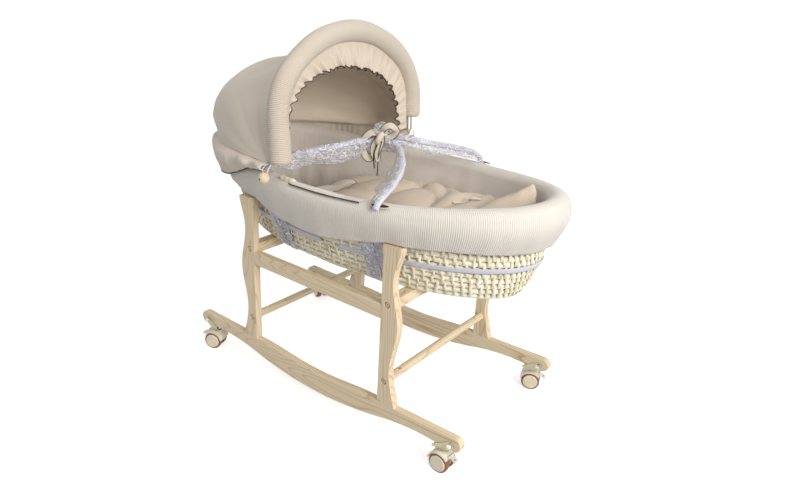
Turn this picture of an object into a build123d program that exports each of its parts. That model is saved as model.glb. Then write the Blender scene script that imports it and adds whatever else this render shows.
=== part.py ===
from build123d import *
import os
from math import cos, sin, radians

# Moses basket on a rocking stand with four fold-away twin-wheel castors.
# Millimetres. Origin on the floor under the middle, +X to the foot end, +Z up.

os.makedirs("parts", exist_ok=True)

# ---------------------------------------------------------------- stand sizes
SIDE_Y = 220.0          # outer face of each side frame
TIMBER = 19.0           # thickness of rockers, posts and side rails
MID_Y = SIDE_Y - TIMBER / 2
POST_IN = 205.0         # straight inner edge of a post
POST_OUT = 255.0        # outer edge of a post at its foot
POST_FOOT = 96.0        # top of the rocker under a post
POST_TOP = 487.0
ROCKER_DIP = 84.0       # top of the rocker at mid length
ROCKER_LOW = 30.0       # underside of the rocker at mid length
NOSE_X = 419.0          # centre of the rounded rocker end
NOSE_Z = 82.0
NOSE_R = 17.0
BOLT_X = 222.0          # bolts, cross rails and dowels
UPPER_Z = 350.0         # upper bolts and cross rails
LOWER_Z = 155.5         # lower bolts and dowels
CROSS_RAIL = (28.0, 25.0)
DOWEL_R = 10.0
RAIL_Z = 328.5          # middle of a side rail
RAIL_TALL = 35.0
BOLT_R = 3.0
BOLT_HEAD_R = 5.0
NUT_DEPTH = 38.0        # barrel nut, from a post's inner face
PIN_R = 4.0             # dowel pins between post and rocker
SCREW_R = 2.2
PLUG_R = 5.0

# --------------------------------------------------------------- castor sizes
PIVOT_X = 410.0         # fold pivot through the rocker end
PIVOT_Z = 77.5
STEM_X = 378.0
TRAIL = 11.0            # wheel axle behind the stem
WHEEL_R = 24.0
HUB_R = 19.5
WHEEL_IN = 6.0          # wheel's inner face from the castor's middle
WHEEL_OUT = 20.0
AXLE_R = 3.0
HOOD_IN = 25.2          # wheel cover, inner and outer radius
HOOD_OUT = 28.5
CLEAR = 0.06            # running clearance on a pin

# --------------------------------------------------------------- basket sizes
BASKET_X = 5.0          # middle of the basket
FLOOR_Z = 363.0         # basket underside, on the cross rails
CANE = 9.0              # wall of the basket
RIM_MID = 566.0         # top of the padded rim, at the middle and at the ends
RIM_END = 602.0
HEM_MID = 462.0         # lower hem of the outer valance
HEM_POST = 489.5
HEM_END = 494.0
RIM_REACH = 500.0
PAD = 12.0              # padding inside the basket wall
HANDLE_R = 9.0
HANDLE_X = (-135.0, 175.0)
HANDLE_Y = 240.0        # handle hinge line on the rim
HANDLE_Z = 582.0
HANDLE_RISE = 58.0      # rise of a handle from the rim to its top

# ----------------------------------------------------------------- hood sizes
HOOD_X = -77.0
HOOD_Z = 612.0          # hood hinge line
HOOD_LEAN = 4.0         # degrees that the arch leans towards the head
ARCH_HALF = 243.0
ARCH_LEG = 82.0         # straight leg above the hinge line
ROLL_R = 25.0
HOOP_R = 2.5
CORNER_R = 150.0
CORNER_TURN = 50.0

# Each castor: name, side of X, side of Y, and its resting swivel in degrees.
CASTORS = (
    ("front_foot", 1, -1, 0),
    ("back_foot", 1, 1, 20),
    ("front_head", -1, -1, 22),
    ("back_head", -1, 1, -24),
)

# (height, half length, half width) of the basket's level ovals
WEAVE_OVALS = (
    (FLOOR_Z, 408, 164),
    (FLOOR_Z + 16, 421, 176),
    (FLOOR_Z + 85, 447, 204),
    (FLOOR_Z + 160, 458, 224),
    (FLOOR_Z + 250, 463, 236),
)
VALANCE_OVALS = (
    (450, 461, 236),
    (490, 471, 244),
    (575, 491, 263),
    (620, 489, 259),
)
CANOPY_OVALS = (
    (508, 499, 268),
    (590, 499, 269),
    (650, 491, 263),
    (700, 474, 248),
    (750, 440, 220),
    (790, 382, 172),
    (812, 292, 102),
)


def side_plane(y):
    """A plane at y that faces -Y, with local x along X and local y along Z."""
    return Plane(origin=(0, y, 0), x_dir=(1, 0, 0), z_dir=(0, -1, 0))


def oval(height, half_length, half_width):
    """A level oval about the basket's middle."""
    with BuildSketch(Plane.XY.offset(height)) as outline:
        with Locations((BASKET_X, 0)):
            Ellipse(half_length, half_width)
    return outline.sketch


def ovals(rows, inset=0.0, drop=0.0):
    """The ovals of a table, moved in by inset and down by drop."""
    return [oval(z - drop, a - inset, b - inset) for z, a, b in rows]


def pin_y(x, y, z, radius, length):
    """A round pin along Y, centred at x, y, z."""
    with BuildPart() as pin:
        with BuildSketch(side_plane(y)):
            with Locations((x, z)):
                Circle(radius)
        extrude(amount=length / 2, both=True)
    return pin.part


def mirrored(piece):
    """The piece and its images at the other three corners."""
    head = piece.mirror(Plane.YZ)
    return [piece, head, piece.mirror(Plane.XZ), head.mirror(Plane.XZ)]


# ------------------------------------------------------------------- rockers
def rocker_outline():
    """Half of the rocker's side view, mirrored about its middle."""
    with BuildSketch(Plane.XY) as outline:
        with BuildLine():
            top = Line((0, ROCKER_DIP), (12, ROCKER_DIP))
            rise = Spline(top @ 1, (195, POST_FOOT), tangents=[(1, 0), (1, 0)])
            flat = Line(rise @ 1, (POST_OUT + 12, POST_FOOT))
            to_nose = Line(flat @ 1, (NOSE_X, NOSE_Z + NOSE_R))
            ThreePointArc(to_nose @ 1, (NOSE_X + NOSE_R, NOSE_Z), (NOSE_X, NOSE_Z - NOSE_R))
            under = Line((NOSE_X, NOSE_Z - NOSE_R), (335, 67.5))
            ess = Spline(under @ 1, (215, 54.0), tangents=[(-1, 0), (-1, -0.22)])
            Spline(ess @ 1, (0, ROCKER_LOW), tangents=[(-1, -0.22), (-1, 0)])
            Line((0, ROCKER_LOW), (0, ROCKER_DIP))
        make_face()
        mirror(about=Plane.YZ)
    return outline.sketch


for side, y_mid in (("front", -MID_Y), ("back", MID_Y)):
    with BuildPart() as rocker:
        with BuildSketch(side_plane(y_mid + TIMBER / 2)):
            add(rocker_outline())
        extrude(amount=TIMBER)
        fillet(rocker.edges().filter_by(Plane.XZ), 1.5)
        for x in (-PIVOT_X, PIVOT_X):
            add(pin_y(x, y_mid, PIVOT_Z, BOLT_R + 0.05, 3 * TIMBER), mode=Mode.SUBTRACT)
        for x in (-242, -218, 218, 242):
            with Locations((x, y_mid, POST_FOOT)):
                Hole(PIN_R + 0.03, depth=22)
    rocker.part.label = f"rocker_{side}"
    export_step(rocker.part, f"parts/rocker_{side}.step")


# --------------------------------------------------------------------- posts
def post_outline():
    """A post's side view: straight inner edge, wavy outer edge."""
    with BuildSketch(Plane.XY) as outline:
        with BuildLine():
            Polyline(
                (POST_OUT, POST_FOOT), (POST_IN, POST_FOOT), (POST_IN, 466), (POST_IN - 2, 468),
                (POST_IN - 2, POST_TOP), (249, POST_TOP), (252.5, 483),
            )
            Spline(
                (252.5, 483), (247, 460), (236, 412), (253, 300), (235.5, 190),
                (POST_OUT, POST_FOOT), tangents=[(-0.1, -1), (0.28, -1)],
            )
        make_face()
    return outline.sketch


for end, turn in (("foot", 1), ("head", -1)):
    for side, way in (("front", -1), ("back", 1)):
        with BuildPart() as post:
            with BuildSketch(side_plane(-SIDE_Y + TIMBER)):
                add(post_outline())
            extrude(amount=TIMBER)
            fillet(post.edges().filter_by(lambda e: e.length > 300), 1.2)
            for z in (UPPER_Z, LOWER_Z):
                add(pin_y(BOLT_X, -MID_Y, z, BOLT_R + 0.3, 2 * TIMBER), mode=Mode.SUBTRACT)
                add(pin_y(BOLT_X, -SIDE_Y, z, 7.5, 12), mode=Mode.SUBTRACT)
            with BuildSketch(Plane.YZ.offset(POST_IN - 10)):
                with Locations((-MID_Y, RAIL_Z)):
                    Circle(SCREW_R + 0.05)
            extrude(amount=60, mode=Mode.SUBTRACT)
            with BuildSketch(Plane.YZ.offset(230)):
                with Locations((-MID_Y, RAIL_Z)):
                    Circle(PLUG_R + 0.02)
            extrude(amount=60, mode=Mode.SUBTRACT)
            with BuildSketch(Plane.XY.offset(POST_FOOT)):
                with Locations((218, -MID_Y), (242, -MID_Y)):
                    Circle(PIN_R + 0.03)
            extrude(amount=28, mode=Mode.SUBTRACT)
            if turn < 0:
                mirror(about=Plane.YZ, mode=Mode.REPLACE)
            if way > 0:
                mirror(about=Plane.XZ, mode=Mode.REPLACE)
        post.part.label = f"post_{side}_{end}"
        export_step(post.part, f"parts/post_{side}_{end}.step")

# ------------------------------------------------- side rails and cross rails
for side, y_mid in (("front", -MID_Y), ("back", MID_Y)):
    with BuildPart() as rail:
        with Locations((0, y_mid, RAIL_Z)):
            Box(2 * POST_IN, TIMBER, RAIL_TALL)
        fillet(rail.edges().filter_by(Axis.X), 2)
        for x in (-POST_IN, POST_IN):
            with Locations((x, y_mid, RAIL_Z)):
                Cylinder(SCREW_R + 0.05, 84, rotation=(0, 90, 0), mode=Mode.SUBTRACT)
    rail.part.label = f"side_rail_{side}"
    export_step(rail.part, f"parts/side_rail_{side}.step")

INNER_Y = SIDE_Y - TIMBER
for end, x in (("foot", BOLT_X), ("head", -BOLT_X)):
    with BuildPart() as cross_rail:
        with Locations((x, 0, UPPER_Z)):
            Box(CROSS_RAIL[0], 2 * INNER_Y, CROSS_RAIL[1])
        fillet(cross_rail.edges().filter_by(Axis.Y), 2)
        for way in (-1, 1):
            add(pin_y(x, way * INNER_Y, UPPER_Z, BOLT_R + 0.3, 100), mode=Mode.SUBTRACT)
            with BuildSketch(Plane.XY.offset(UPPER_Z - 20)):
                with Locations((x, way * (INNER_Y - NUT_DEPTH))):
                    Circle(PLUG_R + 0.05)
            extrude(amount=40, mode=Mode.SUBTRACT)
    cross_rail.part.label = f"cross_rail_{end}"
    export_step(cross_rail.part, f"parts/cross_rail_{end}.step")

    with BuildPart() as dowel:
        with BuildSketch(side_plane(INNER_Y)):
            with Locations((x, LOWER_Z)):
                Circle(DOWEL_R)
        extrude(amount=2 * INNER_Y)
        for way in (-1, 1):
            add(pin_y(x, way * INNER_Y, LOWER_Z, BOLT_R + 0.3, 100), mode=Mode.SUBTRACT)
            with BuildSketch(Plane.XY.offset(LOWER_Z - 20)):
                with Locations((x, way * (INNER_Y - NUT_DEPTH))):
                    Circle(PLUG_R + 0.05)
            extrude(amount=40, mode=Mode.SUBTRACT)
    dowel.part.label = f"dowel_{end}"
    export_step(dowel.part, f"parts/dowel_{end}.step")

# ----------------------------------------------------------- stand fasteners
# One fastener of each kind is drawn for the front foot corner and mirrored
# to the other three.
bolts = []
nuts = []
for z in (UPPER_Z, LOWER_Z):
    with BuildPart() as bolt:
        with BuildSketch(side_plane(-SIDE_Y + 6)):
            with Locations((BOLT_X, z)):
                Circle(BOLT_HEAD_R)
        extrude(amount=5)
        with BuildSketch(side_plane(-SIDE_Y + 1)):
            with Locations((BOLT_X, z)):
                RegularPolygon(2.9, 6)
        extrude(amount=-3, mode=Mode.SUBTRACT)
        with BuildSketch(side_plane(-SIDE_Y + 6)):
            with Locations((BOLT_X, z)):
                Circle(BOLT_R)
        extrude(amount=-(TIMBER - 6 + NUT_DEPTH + 6))
    bolts += mirrored(bolt.part)
    with BuildPart() as nut:
        with BuildSketch(Plane.XY.offset(z - 8)):
            with Locations((BOLT_X, -INNER_Y + NUT_DEPTH)):
                Circle(PLUG_R)
        extrude(amount=16)
        add(pin_y(BOLT_X, -INNER_Y + NUT_DEPTH, z, BOLT_R + 0.02, 20), mode=Mode.SUBTRACT)
    nuts += mirrored(nut.part)

with BuildPart() as screw:
    with BuildSketch(Plane.YZ.offset(230)):
        with Locations((-MID_Y, RAIL_Z)):
            Circle(4.4)
    extrude(amount=4)
    with BuildSketch(Plane.YZ.offset(166)):
        with Locations((-MID_Y, RAIL_Z)):
            Circle(SCREW_R)
    extrude(amount=64)

with BuildPart() as plug:
    with BuildSketch(Plane.YZ.offset(234)):
        with Locations((-MID_Y, RAIL_Z)):
            Circle(PLUG_R)
    extrude(amount=17)

foot_pin_list = []
for x in (218, 242):
    with BuildPart() as foot_pin:
        with BuildSketch(Plane.XY.offset(POST_FOOT - 21)):
            with Locations((x, -MID_Y)):
                Circle(PIN_R)
        extrude(amount=48)
    foot_pin_list += mirrored(foot_pin.part)

CHEEK_IN = TIMBER / 2 + 0.3
CHEEK_OUT = CHEEK_IN + 2.0
with BuildPart() as pivot_bolt:
    with BuildSketch(side_plane(-MID_Y + CHEEK_OUT + 7)):
        with Locations((PIVOT_X, PIVOT_Z)):
            Circle(BOLT_R)
    extrude(amount=2 * CHEEK_OUT + 7.1)
    with BuildSketch(side_plane(-MID_Y - CHEEK_OUT - 0.1)):
        with Locations((PIVOT_X, PIVOT_Z)):
            Circle(6)
    extrude(amount=3.4)
    fillet(pivot_bolt.edges().sort_by(Axis.Y)[0], 1.6)

with BuildPart() as pivot_nut:
    with BuildSketch(side_plane(-MID_Y + CHEEK_OUT + 5.1)):
        with Locations((PIVOT_X, PIVOT_Z)):
            RegularPolygon(5.8, 6)
            Circle(BOLT_R + 0.02, mode=Mode.SUBTRACT)
    extrude(amount=5)

FASTENERS = (
    ("post_bolts", bolts),
    ("barrel_nuts", nuts),
    ("rail_screws", mirrored(screw.part)),
    ("wood_plugs", mirrored(plug.part)),
    ("foot_pins", foot_pin_list),
    ("castor_pivot_bolts", mirrored(pivot_bolt.part) + mirrored(pivot_nut.part)),
)
for label, pieces in FASTENERS:
    with BuildPart() as group:
        add(pieces)
    group.part.label = label
    export_step(group.part, f"parts/{label}.step")


# ------------------------------------------------------------------- castors
# Each castor piece is drawn at x = 0 over its stem for the foot end's front
# corner, turned by its resting swivel, and moved to its corner.
def band(radius_out, radius_in, half_width, start, stop):
    """A curved strip round the wheel axle, between two angles in degrees."""
    with BuildPart() as strip:
        with BuildSketch(side_plane(0)):
            with BuildLine():
                outer = CenterArc((TRAIL, WHEEL_R), radius_out, start, stop - start)
                inner = CenterArc((TRAIL, WHEEL_R), radius_in, start, stop - start)
                Line(outer @ 0, inner @ 0)
                Line(outer @ 1, inner @ 1)
            make_face()
        extrude(amount=half_width, both=True)
    return strip.part


def disc(radius, half_width):
    """A disc on the wheel axle."""
    return pin_y(TRAIL, 0, WHEEL_R, radius, 2 * half_width)


LEVER_X = TRAIL + 21.0   # brake lever pin
LEVER_Z = WHEEL_R + 20.0
LEVER_SLOPE = -30.0
LEVER_PLANE = Plane(
    origin=(LEVER_X, 0, LEVER_Z),
    x_dir=(cos(radians(LEVER_SLOPE)), 0, sin(radians(LEVER_SLOPE))),
    z_dir=(-sin(radians(LEVER_SLOPE)), 0, cos(radians(LEVER_SLOPE))),
)

for name, way_x, way_y, swivel in CASTORS:
    y_mid = way_y * MID_Y
    corner = Location((way_x * STEM_X, y_mid, 0), (0, 0, swivel + (180 if way_x < 0 else 0)))

    with BuildPart() as bracket:
        with BuildSketch(side_plane(y_mid)):
            with Locations((PIVOT_X, PIVOT_Z)):
                Circle(10)
            with Locations((366.5, 58.4), (388, 58.4)):
                Circle(2.5)
            make_hull()
        extrude(amount=CHEEK_OUT, both=True)
        with Locations((PIVOT_X, y_mid, PIVOT_Z)):
            Box(200, 2 * CHEEK_IN, 100, mode=Mode.SUBTRACT)
        with Locations((376, y_mid, 57.2)):
            Box(22, 2 * CHEEK_OUT, 2)
        add(pin_y(PIVOT_X, y_mid, PIVOT_Z, BOLT_R + CLEAR, 60), mode=Mode.SUBTRACT)
        with Locations((STEM_X, y_mid, 57)):
            Cylinder(3.0 + 0.01, 10, mode=Mode.SUBTRACT)
        if way_x < 0:
            mirror(about=Plane.YZ, mode=Mode.REPLACE)
    bracket.part.label = f"bracket_{name}"
    export_step(bracket.part, f"parts/bracket_{name}.step")

    with BuildPart() as stem:
        with BuildSketch(Plane.XY.offset(WHEEL_R + 8)):
            with Locations((way_x * STEM_X, y_mid)):
                Circle(3.0)
        extrude(amount=58.2 - WHEEL_R - 8)
        with BuildSketch(Plane.XY.offset(58.2)):
            with Locations((way_x * STEM_X, y_mid)):
                Circle(5.5)
        extrude(amount=2.5, taper=20)
    stem.part.label = f"stem_{name}"
    export_step(stem.part, f"parts/stem_{name}.step")

    with BuildPart() as plain_housing:
        add(band(HOOD_OUT, HOOD_IN, 21.5, 38, 168))
        add(band(HOOD_IN + 1, 12, 5.0, 30, 176))
        add(disc(14, 5.0))
        with BuildSketch(Plane.XY.offset(WHEEL_R + HOOD_IN - 1.5)):
            Circle(8.5)
        extrude(amount=54.5 - WHEEL_R - HOOD_IN + 1.5)
        for ear in (-1, 1):
            add(pin_y(LEVER_X, ear * 10.0, LEVER_Z, 3.2, 4.6))
        add(pin_y(LEVER_X, 0, LEVER_Z, 3.6, 15.2), mode=Mode.SUBTRACT)
        with BuildSketch(LEVER_PLANE.offset(-3.6)):
            with Locations((11, 0)):
                Rectangle(28, 15.2)
        extrude(amount=9, mode=Mode.SUBTRACT)
        add(pin_y(LEVER_X, 0, LEVER_Z, 1.6 + CLEAR, 30), mode=Mode.SUBTRACT)
        add(disc(AXLE_R + CLEAR, 20), mode=Mode.SUBTRACT)
        with BuildSketch(Plane.XY.offset(WHEEL_R + 7)):
            Circle(3.0 + CLEAR)
        extrude(amount=40, mode=Mode.SUBTRACT)
    with BuildPart() as housing:
        add(corner * plain_housing.part)
    housing.part.label = f"housing_{name}"
    export_step(housing.part, f"parts/housing_{name}.step")

    with BuildPart() as plain_lever:
        with BuildSketch(LEVER_PLANE.offset(-1.75)):
            with Locations((9, 0)):
                RectangleRounded(18, 14, 2.5)
            with Locations((12, 0)):
                SlotOverall(7, 3, rotation=90, mode=Mode.SUBTRACT)
        extrude(amount=3.5)
        add(pin_y(LEVER_X, 0, LEVER_Z, 2.6, 14))
        add(pin_y(LEVER_X, 0, LEVER_Z, 1.6, 24))
    with BuildPart() as lever:
        add(corner * plain_lever.part)
    lever.part.label = f"brake_lever_{name}"
    export_step(lever.part, f"parts/brake_lever_{name}.step")

    with BuildPart() as plain_tyre:
        with BuildSketch(side_plane(-WHEEL_IN)):
            with Locations((TRAIL, WHEEL_R)):
                Circle(WHEEL_R)
                Circle(HUB_R, mode=Mode.SUBTRACT)
        extrude(amount=WHEEL_OUT - WHEEL_IN)
        rims = plain_tyre.edges().filter_by(GeomType.CIRCLE)
        fillet(rims.filter_by(lambda e: e.radius > HUB_R + 1), 2.5)
    with BuildPart() as plain_hub:
        with BuildSketch(side_plane(-WHEEL_IN)):
            with Locations((TRAIL, WHEEL_R)):
                Circle(HUB_R)
        extrude(amount=WHEEL_OUT - WHEEL_IN + 2.5)
        fillet(plain_hub.edges().sort_by(Axis.Y)[0], 2.4)
        add(disc(AXLE_R, WHEEL_OUT - 2), mode=Mode.SUBTRACT)
    for label, plain in (("tyres", plain_tyre), ("hubs", plain_hub)):
        with BuildPart() as pair:
            add(corner * plain.part)
            add(corner * plain.part.mirror(Plane.XZ))
        pair.part.label = f"{label}_{name}"
        export_step(pair.part, f"parts/{label}_{name}.step")

    with BuildPart() as axle:
        add(corner * disc(AXLE_R, WHEEL_OUT - 2.1))
    axle.part.label = f"axle_{name}"
    export_step(axle.part, f"parts/axle_{name}.step")


# -------------------------------------------------------------------- basket
def under_arc(end, mid, floor=300.0):
    """A side view from the floor height up to a shallow arc."""
    left = BASKET_X - RIM_REACH
    right = BASKET_X + RIM_REACH
    with BuildSketch(Plane.XZ) as profile:
        with BuildLine():
            ThreePointArc((left, end), (BASKET_X, mid), (right, end))
            Polyline((right, end), (right, floor), (left, floor), (left, end))
        make_face()
    return profile.sketch


def slab(profile):
    """The profile carried right across the basket."""
    return extrude(profile, amount=400, both=True, mode=Mode.PRIVATE)


RIM_PAD = 15.0
with BuildPart() as basket_weave:
    loft(ovals(WEAVE_OVALS), ruled=True)
    bowl = loft(ovals(WEAVE_OVALS, CANE, -CANE), ruled=True, mode=Mode.PRIVATE)
    add(bowl, mode=Mode.SUBTRACT)
    rim = under_arc(RIM_END - RIM_PAD, RIM_MID - RIM_PAD)
    add(slab(rim), mode=Mode.INTERSECT)
basket_weave.part.label = "basket_weave"
export_step(basket_weave.part, "parts/basket_weave.step")

with BuildPart() as liner:
    loft(ovals(VALANCE_OVALS), ruled=True)
    with BuildSketch(Plane.XZ) as hem:
        with BuildLine():
            ThreePointArc((BASKET_X - 203, HEM_POST), (BASKET_X, HEM_MID), (BASKET_X + 203, HEM_POST))
            Polyline(
                (BASKET_X + 203, HEM_POST), (262, HEM_POST), (RIM_REACH + 40, HEM_END),
                (RIM_REACH + 40, 700), (-RIM_REACH - 40, 700), (-RIM_REACH - 40, HEM_END),
                (-262, HEM_POST), (BASKET_X - 203, HEM_POST),
            )
        make_face()
    add(slab(hem.sketch), mode=Mode.INTERSECT)
    cavity = loft(ovals(VALANCE_OVALS, inset=12), ruled=True, mode=Mode.PRIVATE)
    cavity = cavity & slab(under_arc(RIM_END - RIM_PAD, RIM_MID - RIM_PAD))
    add(cavity, mode=Mode.SUBTRACT)
    inner_wall = loft(ovals(WEAVE_OVALS, CANE + 0.2, -CANE), ruled=True, mode=Mode.PRIVATE)
    above_pad = Pos(BASKET_X, 0, 618) * Box(1200, 700, 400, mode=Mode.PRIVATE)
    inner_wall = inner_wall & above_pad
    below_rim = under_arc(RIM_END - RIM_PAD + 1, RIM_MID - RIM_PAD + 1)
    add(inner_wall & slab(below_rim))
    bowl = loft(ovals(WEAVE_OVALS[1:], CANE + PAD, -CANE), ruled=True, mode=Mode.PRIVATE)
    top_bowl = loft([oval(622, 442, 215), oval(650, 444, 217)], ruled=True, mode=Mode.PRIVATE)
    add(bowl, mode=Mode.SUBTRACT)
    add(top_bowl, mode=Mode.SUBTRACT)
    crest = under_arc(RIM_END, RIM_MID)
    add(slab(crest), mode=Mode.INTERSECT)
liner.part.label = "liner"
export_step(liner.part, "parts/liner.step")

with BuildPart() as mattress:
    loft([oval(FLOOR_Z + CANE + 2, 392, 150), oval(415, 402, 160)], ruled=True)
    fillet(mattress.edges().group_by(Axis.Z)[-1], 10)
mattress.part.label = "mattress"
export_step(mattress.part, "parts/mattress.step")

COVER_HEAD_X = -215.0
with BuildPart() as coverlet:
    loft([oval(418, 398, 160), oval(470, 410, 176), oval(590, 424, 204)], ruled=True)
    with BuildSketch(Plane.XZ):
        with BuildLine():
            top = Spline(
                (COVER_HEAD_X, 444), (-40, 492), (180, 500), (330, 530), (432, 574),
                tangents=[(1, 0.4), (1, 0.6)],
            )
            Polyline(top @ 1, (432, 410), (COVER_HEAD_X, 410), top @ 0)
        make_face()
    extrude(amount=300, both=True, mode=Mode.INTERSECT)
coverlet.part.label = "coverlet"
export_step(coverlet.part, "parts/coverlet.step")

# Webbing: one belt round the basket and four straps that pass under it.
BELT_Z = (428.0, 444.0)
WEB_THICK = 1.6
with BuildPart() as webbing_straps:
    loft(ovals(WEAVE_OVALS, inset=-WEB_THICK), ruled=True)
    add(slab(under_arc(BELT_Z[1] + 12, BELT_Z[1])), mode=Mode.INTERSECT)
    add(slab(under_arc(BELT_Z[0] + 12, BELT_Z[0])), mode=Mode.SUBTRACT)
    straps = loft(ovals(WEAVE_OVALS, inset=-WEB_THICK), ruled=True, mode=Mode.PRIVATE)
    keep = slab(under_arc(RIM_END - RIM_PAD - 6, RIM_MID - RIM_PAD - 6, FLOOR_Z + 4))
    for x in HANDLE_X:
        strap_box = Pos(x, 0, 480) * Box(30, 700, 260, mode=Mode.PRIVATE)
        add(straps & keep & strap_box)
    add(loft(ovals(WEAVE_OVALS), ruled=True, mode=Mode.PRIVATE), mode=Mode.SUBTRACT)
webbing_straps.part.label = "webbing_straps"
export_step(webbing_straps.part, "parts/webbing_straps.step")


# ------------------------------------------------------------------- handles
def handle(way, radius=HANDLE_R):
    """A soft handle that leans in from the rim; way is -1 in front, 1 behind."""
    reach = HANDLE_Y - HANDLE_R - 5
    lean = Plane(
        origin=(0, way * HANDLE_Y, HANDLE_Z),
        x_dir=(1, 0, 0),
        z_dir=(0, HANDLE_RISE * way, reach),
    )
    far = (reach**2 + HANDLE_RISE**2) ** 0.5 * (1 if way < 0 else -1)
    low, high = HANDLE_X
    with BuildPart() as loop:
        with BuildLine(lean) as route:
            FilletPolyline(
                (low, 0), (low + 22, 0.55 * far), (-28, far), (78, far), (high - 22, 0.55 * far),
                (high, 0), radius=(150, 95, 95, 150),
            )
        with BuildSketch(Plane(origin=route.line @ 0, z_dir=route.line % 0)):
            Circle(radius)
        sweep()
        with Locations(route.line @ 0, route.line @ 1):
            Sphere(radius)
    return loop.part


for side, way in (("front", -1), ("back", 1)):
    with BuildPart() as grip:
        add(handle(way))
    grip.part.label = f"handle_{side}"
    export_step(grip.part, f"parts/handle_{side}.step")

# The bow that ties the handles together, on the front handle.
TIE_X = 20.0
TIE_Y = -HANDLE_R - 5
TIE_Z = HANDLE_Z + HANDLE_RISE
with BuildPart() as handle_tie:
    with Locations((TIE_X, TIE_Y - 1, TIE_Z)):
        Box(34, 2 * HANDLE_R + 6, 2 * HANDLE_R + 6)
    fillet(handle_tie.edges().filter_by(Axis.X), 6)
    with Locations((TIE_X, TIE_Y - 22, TIE_Z - 8)):
        Box(22, 20, 34)
    add(handle(-1, HANDLE_R + 0.2), mode=Mode.SUBTRACT)
handle_tie.part.label = "handle_tie"
export_step(handle_tie.part, "parts/handle_tie.step")

# ---------------------------------------------------------------------- hood
HOOD_PLANE = Plane(
    origin=(HOOD_X, 0, HOOD_Z),
    x_dir=(0, 1, 0),
    z_dir=(cos(radians(HOOD_LEAN)), 0, sin(radians(HOOD_LEAN))),
)


def arch(inset, near_start, far_stop):
    """The hood arch's line, from the near foot over the top to the far foot."""
    small = CORNER_R - inset
    large = CORNER_R + (ARCH_HALF - CORNER_R) / cos(radians(CORNER_TURN)) - inset
    half = ARCH_HALF - inset
    leg_top = ARCH_LEG
    with BuildLine(HOOD_PLANE) as line:
        near_leg = Line((-half, near_start), (-half, leg_top))
        one = JernArc((-half, leg_top), (0, 1), small, -CORNER_TURN)
        across = JernArc(one @ 1, one % 1, large, 2 * CORNER_TURN - 180)
        three = JernArc(across @ 1, across % 1, small, -CORNER_TURN)
        Line(three @ 1, (half, far_stop))
    return line.line


def tube(radius, near_start, far_stop):
    """A round tube along the arch."""
    route = arch(0, near_start, far_stop)
    with BuildPart() as bent:
        with BuildSketch(Plane(origin=route @ 0, z_dir=route % 0)):
            Circle(radius)
        sweep(path=route)
    return bent.part


FAR_FOOT = 46.0         # the roll's far foot ends higher than its near foot
with BuildPart() as hood_hoop:
    add(tube(HOOP_R, 0, 0))
hood_hoop.part.label = "hood_hoop"
export_step(hood_hoop.part, "parts/hood_hoop.step")

with BuildPart() as hood_roll:
    add(tube(ROLL_R, 0, FAR_FOOT))
    with Locations(HOOD_PLANE * Pos(-ARCH_HALF, 0, 0), HOOD_PLANE * Pos(ARCH_HALF, FAR_FOOT, 0)):
        Sphere(ROLL_R)
    add(tube(HOOP_R + 0.05, -30, -30), mode=Mode.SUBTRACT)
hood_roll.part.label = "hood_roll"
export_step(hood_roll.part, "parts/hood_roll.step")

# The gathered frill hangs inside the arch, in the arch's own plane.
FRILL_DEEP = 62.0
FRILL_START = 64.0      # above the hinge line, clear of the handles when folded
frill_top = arch(ROLL_R + 0.4, FRILL_START, FRILL_START)
frill_edge = arch(ROLL_R + FRILL_DEEP, FRILL_START, FRILL_START)
frill_ends = [Line(frill_top @ 0, frill_edge @ 0), Line(frill_top @ 1, frill_edge @ 1)]
frill_face = make_face(frill_top.edges() + frill_edge.edges() + frill_ends)
with BuildPart() as hood_frill:
    extrude(frill_face, amount=2, both=True)
hood_frill.part.label = "hood_frill"
export_step(hood_frill.part, "parts/hood_frill.step")

# The canopy is a thin dome from behind the roll to the head end, with its
# skirt outside the rim.
CANOPY_FRONT_X = -128.0
CANOPY_THICK = 4.0
with BuildPart() as hood_canopy:
    loft(ovals(CANOPY_OVALS), ruled=True)
    inside = [(508 - 5, 499, 268)] + [(z - 3, a, b) for z, a, b in CANOPY_OVALS]
    hollow = loft(ovals(inside, inset=CANOPY_THICK), ruled=True, mode=Mode.PRIVATE)
    add(hollow, mode=Mode.SUBTRACT)
    with Locations((CANOPY_FRONT_X - 500, 0, 600)):
        Box(1000, 800, 600, mode=Mode.INTERSECT)
    with BuildSketch(Plane.XZ):
        with BuildLine():
            Polyline(
                (-700, 506), (-390, 506), (-200, 566), (-100, 580), (-100, 900), (-700, 900),
                close=True,
            )
        make_face()
    extrude(amount=400, both=True, mode=Mode.INTERSECT)
hood_canopy.part.label = "hood_canopy"
export_step(hood_canopy.part, "parts/hood_canopy.step")

# ------------------------------------------------- elastic loops and toggles
BEAD_R = 13.0
BEAD = (-96.0, -276.0, 574.0)
with BuildPart() as toggle_beads:
    for way in (1, -1):
        with Locations((BEAD[0], way * BEAD[1], BEAD[2])):
            Sphere(BEAD_R)
            Cylinder(2.05, 60, rotation=(90, 0, 0), mode=Mode.SUBTRACT)
toggle_beads.part.label = "toggle_beads"
export_step(toggle_beads.part, "parts/toggle_beads.step")

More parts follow.
